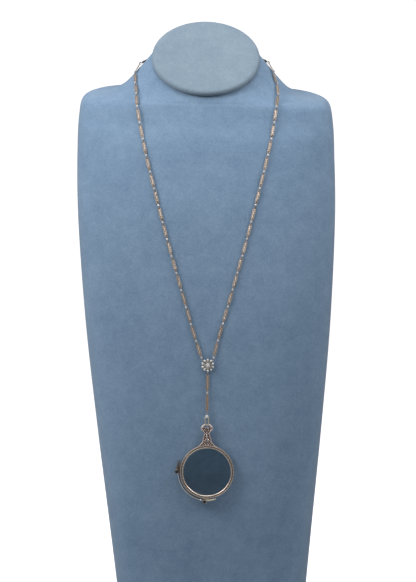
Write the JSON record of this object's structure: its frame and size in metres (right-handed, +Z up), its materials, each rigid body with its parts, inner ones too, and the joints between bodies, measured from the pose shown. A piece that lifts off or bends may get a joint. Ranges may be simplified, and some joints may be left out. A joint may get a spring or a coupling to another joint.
{
  "type": "folding magnifier pendant necklace on a neck bust",
  "caption": "Long link-chain necklace with a jewelled floret and a round folding magnifier pendant that swings on its clip, shown on a padded neck bust.",
  "frame": {"origin": "middle of the bounding box on the standing surface", "axes": "+Z up, -Y is the way the bust and the pendant face, +X is the bust's right-hand side of the picture"},
  "size_m": [0.1868, 0.1043, 0.4294],
  "materials": {
    "bust_suede": "soft mottled suede over padding",
    "cap_suede": "soft suede over padding",
    "chain_silver": "warm antique silver, worn bright on the edges",
    "clasp_silver": "warm antique silver",
    "floret_silver": "warm antique silver",
    "floret_stone": "clear cut stones",
    "drop_silver": "warm antique silver with a golden tone",
    "clip_silver": "polished",
    "rim_silver": "warm antique silver with dark recesses",
    "lens_glass": "clear magnifying glass",
    "finial_stone": "clear cut stones",
    "pin_silver": "bright silver collet",
    "dark_stone": "dark polished cut stone",
    "bridge_silver": "warm antique silver",
    "rear_silver": "warm antique silver",
    "rear_glass": "clear magnifying glass"
  },
  "bodies": {
    "display": {"neck_bust": "bust_suede", "neck_cap": "cap_suede", "chain_left": "chain_silver", "chain_right": "chain_silver", "clasp": "clasp_silver", "floret_setting": "floret_silver", "floret_stones": "floret_stone", "drop_chain": "drop_silver", "pendant_clip": "clip_silver"},
    "pendant": {"front_frame": "rim_silver", "front_lens": "lens_glass", "finial_stones": "finial_stone", "bottom_pin": "pin_silver", "bottom_stone": "dark_stone"},
    "bridge": {"bridge_bar": "bridge_silver", "side_pin": "pin_silver", "side_stone": "dark_stone"},
    "rear_lens_frame": {"rear_frame": "rear_silver", "rear_lens": "rear_glass"}
  },
  "joints": [
    {"name": "pendant_swing", "type": "hinge", "parent": "display", "child": "pendant", "pos_m": [0, -0.049, 0.1462], "axis": [-1, 0, 0], "range_deg": [0, 70]},
    {"name": "bridge_fold", "type": "hinge", "parent": "pendant", "child": "bridge", "pos_m": [-0.0017, -0.05, 0.0924], "axis": [0, -1, 0], "range_deg": [0, 96]},
    {"name": "lens_fold", "type": "hinge", "parent": "bridge", "child": "rear_lens_frame", "pos_m": [-0.0211, -0.05, 0.1136], "axis": [0, 1, 0], "range_deg": [0, 96]}
  ]
}
